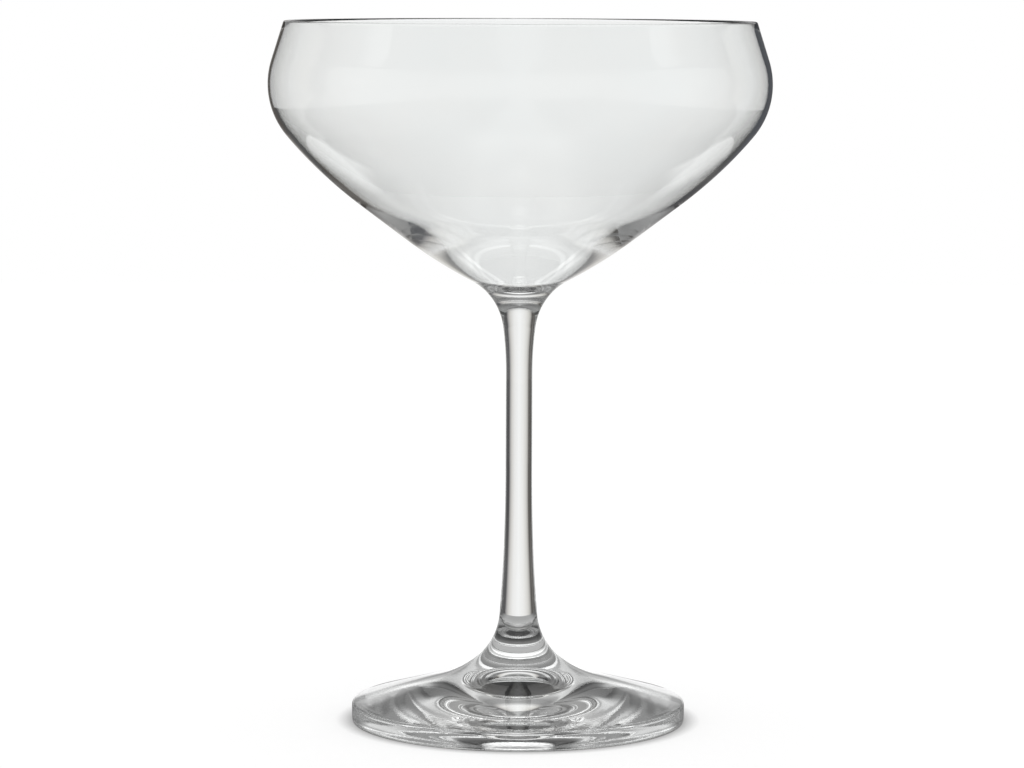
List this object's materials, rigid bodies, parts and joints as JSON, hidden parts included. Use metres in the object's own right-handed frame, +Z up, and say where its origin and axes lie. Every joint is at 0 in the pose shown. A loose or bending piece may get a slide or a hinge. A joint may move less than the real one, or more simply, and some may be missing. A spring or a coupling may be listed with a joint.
{
  "type": "champagne coupe",
  "caption": "Stemmed saucer glass: a wide bowl with a rounded shoulder drawn in to a thin rim, a slender drawn stem and a round foot with a shallow hollow and a dimple under it.",
  "frame": {"origin": "middle of the flat ring under the foot, on the surface that the glass stands on", "axes": "+Z up along the glass's own axis, from foot to rim; X and Y are alike, because the glass is round"},
  "size_m": [0.1106, 0.1106, 0.155],
  "materials": {
    "clear_glass": "fire polished"
  },
  "bodies": {
    "root": {"coupe_glass": "clear_glass"}
  },
  "joints": []
}
